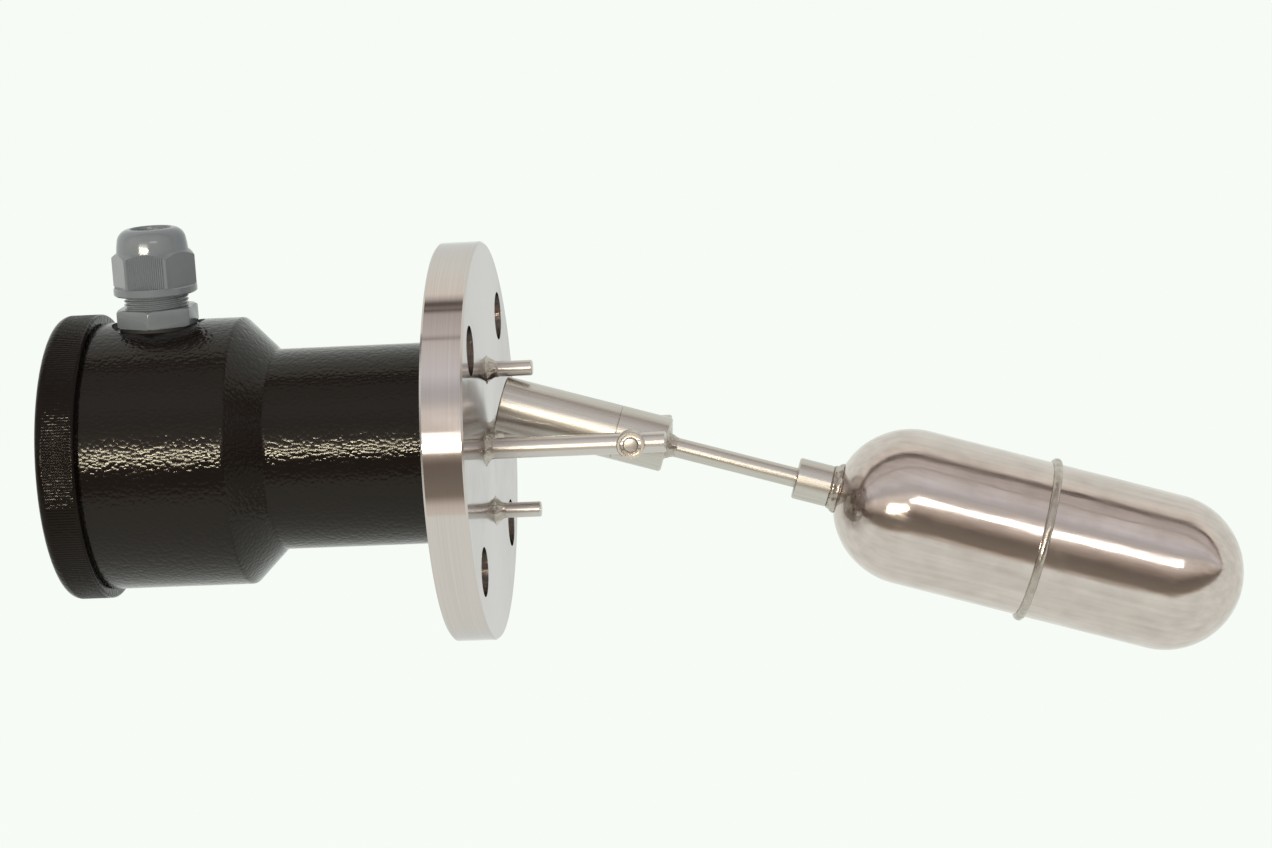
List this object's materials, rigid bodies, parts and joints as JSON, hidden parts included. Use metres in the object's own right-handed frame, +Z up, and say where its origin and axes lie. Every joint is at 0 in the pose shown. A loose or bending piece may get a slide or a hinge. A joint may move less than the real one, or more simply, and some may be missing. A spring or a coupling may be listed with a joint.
{
  "type": "float level switch",
  "caption": "Flanged side-mounted magnetic float level switch: black round housing with screw cap and cable gland, steel flange, pivoting arm with an elongated steel float.",
  "frame": {"origin": "centre of the flange's wet face, where it seats on the vessel's nozzle", "axes": "+X along the flange axis into the vessel, towards the float; +Z up, with the cable gland on top"},
  "size_m": [0.4579, 0.155, 0.1818],
  "materials": {
    "stainless": "satin stainless steel",
    "polished_stainless": "polished stainless steel",
    "weld": "as-welded stainless, slightly heat tinted",
    "black_coat": "glossy black textured powder coat on an aluminium casting",
    "gland_plastic": "grey polyamide",
    "rubber": "black rubber",
    "zinc_steel": "zinc plated steel",
    "magnet": "magnet alloy",
    "inner_plastic": "black moulded plastic",
    "brass": "brass"
  },
  "bodies": {
    "switch_body": {"flange": "stainless", "pivot_bar_near": "stainless", "pivot_bar_far": "stainless", "pivot_pin": "stainless", "upper_stop_pin": "stainless", "lower_stop_pin": "stainless", "bar_welds": "weld", "stop_welds": "weld", "housing": "black_coat", "neck_seal": "rubber", "housing_screws": "zinc_steel", "gland_body": "gland_plastic", "gland_washer": "rubber", "gland_seal": "rubber", "gland_claws": "gland_plastic", "switch_chassis": "zinc_steel", "lever_pin": "stainless", "lever_clip": "zinc_steel", "snap_switch_case": "inner_plastic", "snap_switch_screws": "zinc_steel", "snap_switch_tabs": "brass", "terminal_block": "inner_plastic", "terminal_screws": "brass", "block_screws": "zinc_steel", "earth_screw": "zinc_steel"},
    "float_arm": {"magnet_tube": "stainless", "tube_cap": "stainless", "float_magnet": "magnet", "magnet_spacer": "inner_plastic", "end_plug": "stainless", "float_rod": "polished_stainless", "rod_weld": "weld", "float_socket": "polished_stainless", "float_inner_half": "polished_stainless", "float_outer_half": "polished_stainless", "socket_weld": "weld", "seam_weld": "weld"},
    "switch_lever": {"magnet_lever": "inner_plastic", "switch_magnet": "magnet"},
    "snap_blade": {"snap_switch_blade": "stainless"},
    "snap_plunger": {"snap_switch_plunger": "inner_plastic"},
    "cable_nut": {"gland_nut": "gland_plastic"},
    "cap_seal": {"cap_gasket": "rubber"},
    "screw_cap": {"cap": "black_coat"}
  },
  "joints": [
    {"name": "float_pivot", "type": "hinge", "parent": "switch_body", "child": "float_arm", "pos_m": [0.056, 0, 0], "axis": [0, -1, 0], "range_deg": [0, 31.7]},
    {"name": "switch_lever_pivot", "type": "hinge", "parent": "switch_body", "child": "switch_lever", "pos_m": [-0.042, 0, 0], "axis": [0, -1, 0], "range_deg": [0, 29.8]},
    {"name": "snap_blade_hinge", "type": "hinge", "parent": "switch_body", "child": "snap_blade", "pos_m": [-0.074, 0.00035, -0.007], "axis": [0, 1, 0], "range_deg": [0, 10.8]},
    {"name": "plunger_slide", "type": "slide", "parent": "switch_body", "child": "snap_plunger", "axis": [0, 0, -1], "range_m": [0, 0.0015]},
    {"name": "cable_nut_turn", "type": "hinge", "parent": "switch_body", "child": "cable_nut", "pos_m": [-0.1275, 0, 0.07], "axis": [0, 0, 1], "range_deg": [0, 360]},
    {"name": "cap_turn", "type": "hinge", "parent": "switch_body", "child": "cap_seal", "pos_m": [-0.16, 0, 0], "axis": [-1, 0, 0], "range_deg": [0, 1800]},
    {"name": "cap_withdraw", "type": "slide", "parent": "cap_seal", "child": "screw_cap", "axis": [-1, 0, 0], "range_m": [0, 0.0101]}
  ],
  "couplings": [
    {"joint": "switch_lever_pivot", "follows": "float_pivot", "ratio": 0.93},
    {"joint": "snap_blade_hinge", "follows": "float_pivot", "ratio": 0.336},
    {"joint": "plunger_slide", "follows": "float_pivot", "m_per_rad": 0.00265},
    {"joint": "cap_withdraw", "follows": "cap_turn", "m_per_rad": 0.00031831}
  ]
}
